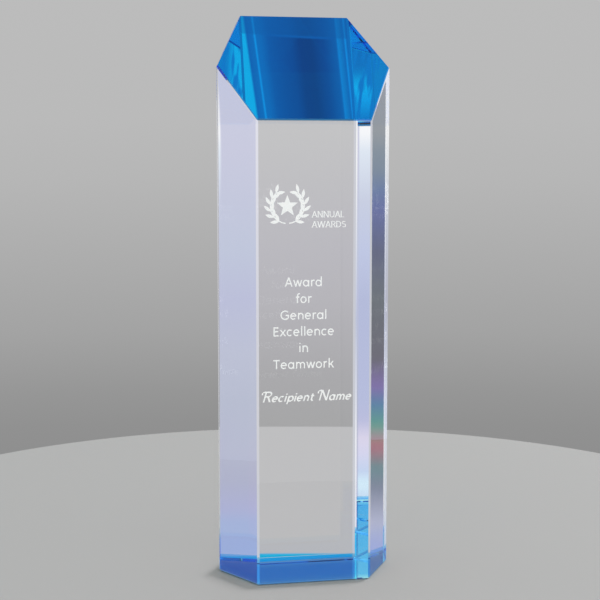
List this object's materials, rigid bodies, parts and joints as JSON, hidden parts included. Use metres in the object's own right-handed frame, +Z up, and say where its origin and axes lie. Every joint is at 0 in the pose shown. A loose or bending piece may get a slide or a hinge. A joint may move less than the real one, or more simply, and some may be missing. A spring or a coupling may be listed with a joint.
{
  "type": "crystal award",
  "caption": "Tall clear crystal tower award, an elongated hexagon with a sloping blue top, a bonded blue base plate and white enamel lettering.",
  "frame": {"origin": "middle of the face the award stands on", "axes": "+Z up along the tower; -Y is the front face, which carries the lettering; +X is to the right seen from the front"},
  "size_m": [0.0774, 0.0487, 0.2491],
  "materials": {
    "crystal": "clear optical crystal, polished",
    "blue_glass": "transparent blue glass, polished",
    "adhesive": "clear cured adhesive film",
    "blue_coat": "translucent blue coat, high gloss",
    "enamel": "white baked enamel, satin"
  },
  "bodies": {
    "root": {"crystal_tower": "crystal", "base_plate": "blue_glass", "base_bond": "adhesive", "top_coat": "blue_coat", "emblem_star": "enamel", "emblem_wreath": "enamel", "heading_line_1": "enamel", "heading_line_2": "enamel", "citation_line_1": "enamel", "citation_line_2": "enamel", "citation_line_3": "enamel", "citation_line_4": "enamel", "citation_line_5": "enamel", "citation_line_6": "enamel", "recipient_line": "enamel"}
  },
  "joints": []
}
